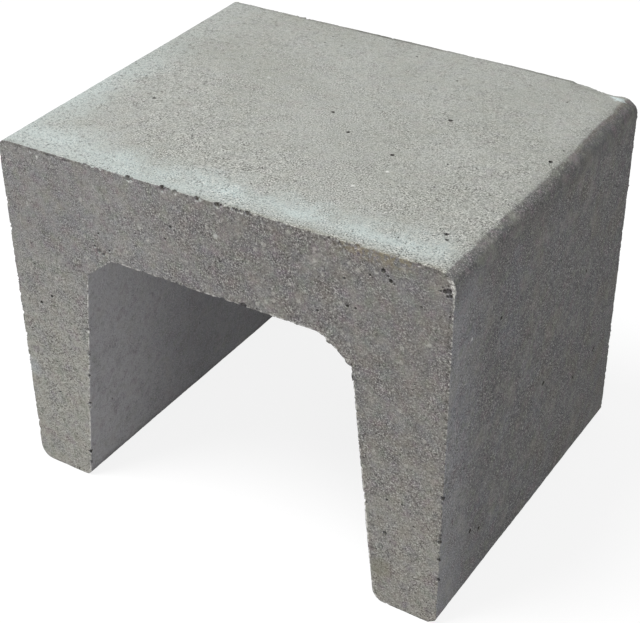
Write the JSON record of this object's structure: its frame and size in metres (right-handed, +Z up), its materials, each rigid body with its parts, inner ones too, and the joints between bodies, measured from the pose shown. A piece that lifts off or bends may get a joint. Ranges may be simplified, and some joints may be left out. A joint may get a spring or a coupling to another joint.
{
  "type": "concrete u-block",
  "caption": "Grey dry-cast concrete block of U section, standing on its tapering legs, with a thick web on top and a channel running through.",
  "frame": {"origin": "middle of the footprint, on the ground the feet stand on", "axes": "+X across the legs, +Y along the channel away from the near end, +Z up"},
  "size_m": [0.25, 0.2, 0.2],
  "materials": {
    "concrete": "matte"
  },
  "bodies": {
    "root": {"u_block": "concrete"}
  },
  "joints": []
}
